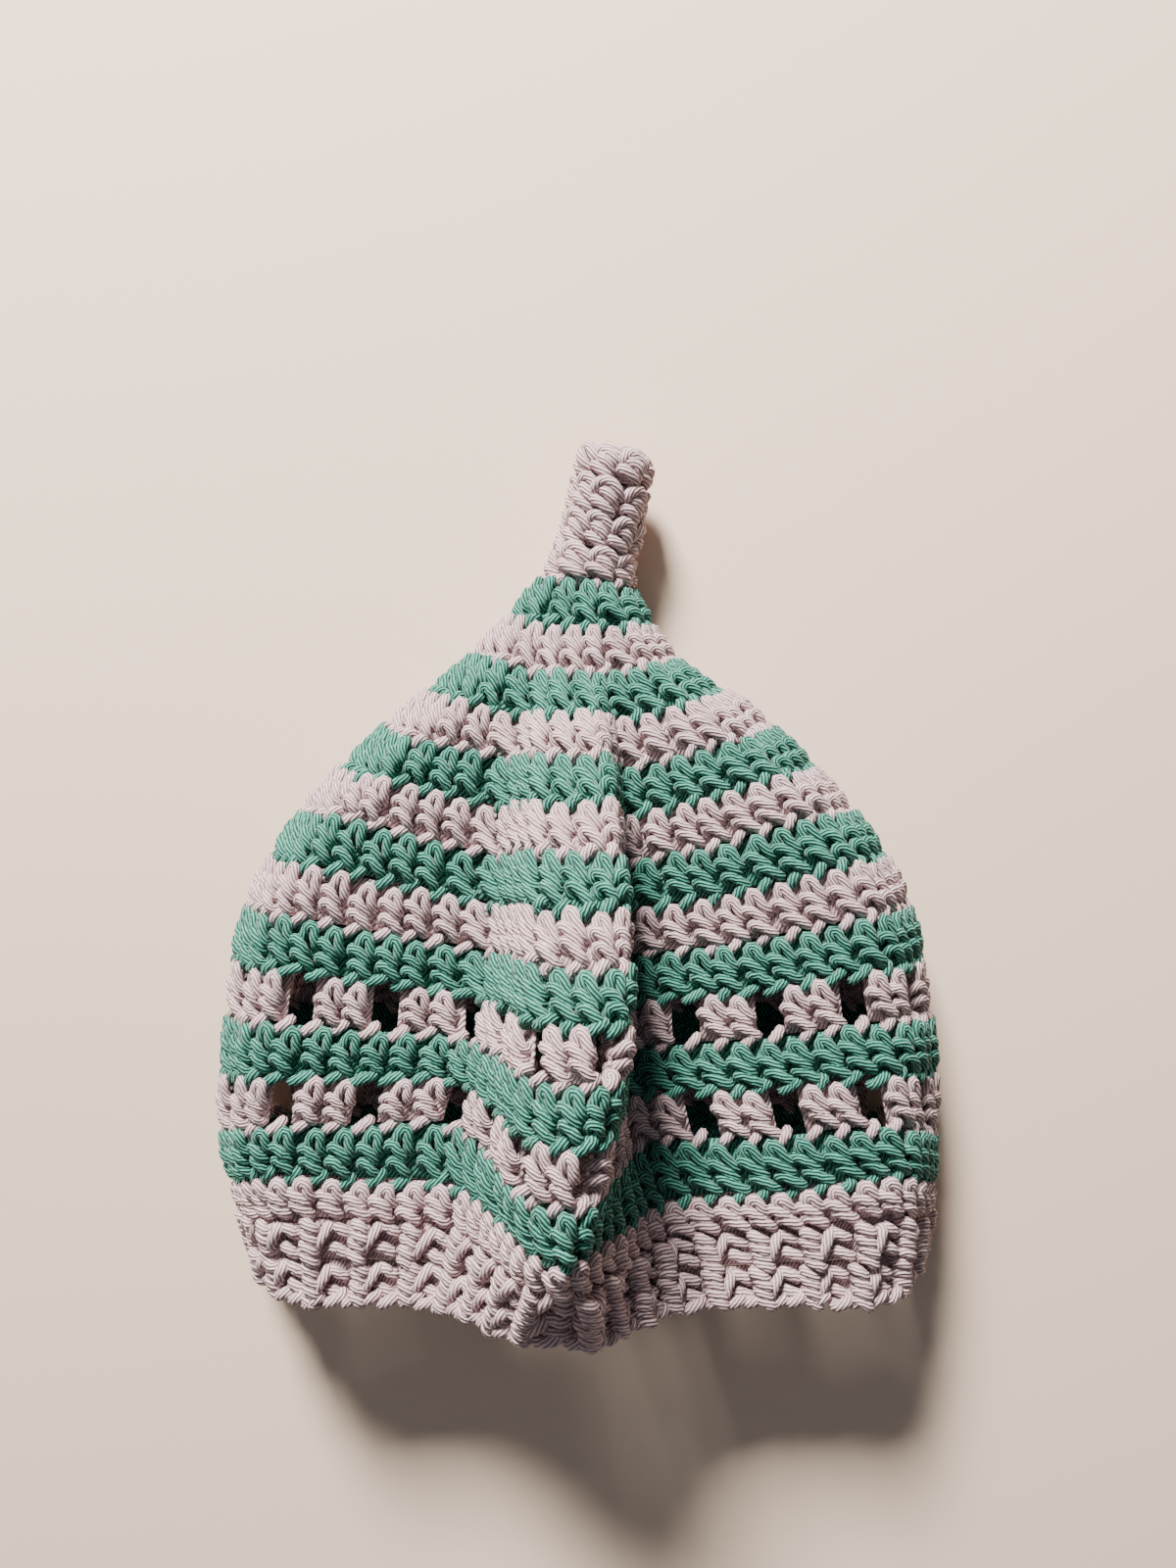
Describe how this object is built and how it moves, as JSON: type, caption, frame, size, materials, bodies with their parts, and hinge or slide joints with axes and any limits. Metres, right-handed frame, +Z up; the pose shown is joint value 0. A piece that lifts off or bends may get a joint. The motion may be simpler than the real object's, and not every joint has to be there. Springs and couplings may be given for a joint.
{
  "type": "crocheted baby nightcap with stem tip",
  "caption": "Hollow crocheted baby cap in two striped yarns, with a ribbed brim, openwork rounds and a stem at its tip, lying on its back with a fold down its front.",
  "frame": {"origin": "On the table under the middle of the cap's box.", "axes": "X runs across the cap, +Y from the rim to the stem's tip, and +Z up from the table that its back lies on."},
  "size_m": [0.1898, 0.2162, 0.092],
  "materials": {
    "green_yarn": "matte twisted yarn",
    "grey_yarn": "matte twisted yarn"
  },
  "bodies": {
    "root": {"brim_ribbed": "grey_yarn", "round_13_green": "green_yarn", "round_12_openwork": "grey_yarn", "round_11_green": "green_yarn", "round_10_openwork": "grey_yarn", "round_09_green": "green_yarn", "round_08_grey": "grey_yarn", "round_07_green": "green_yarn", "round_06_grey": "grey_yarn", "round_05_green": "green_yarn", "round_04_grey": "grey_yarn", "round_03_green": "green_yarn", "round_02_grey": "grey_yarn", "round_01_green": "green_yarn", "stem": "grey_yarn"}
  },
  "joints": []
}
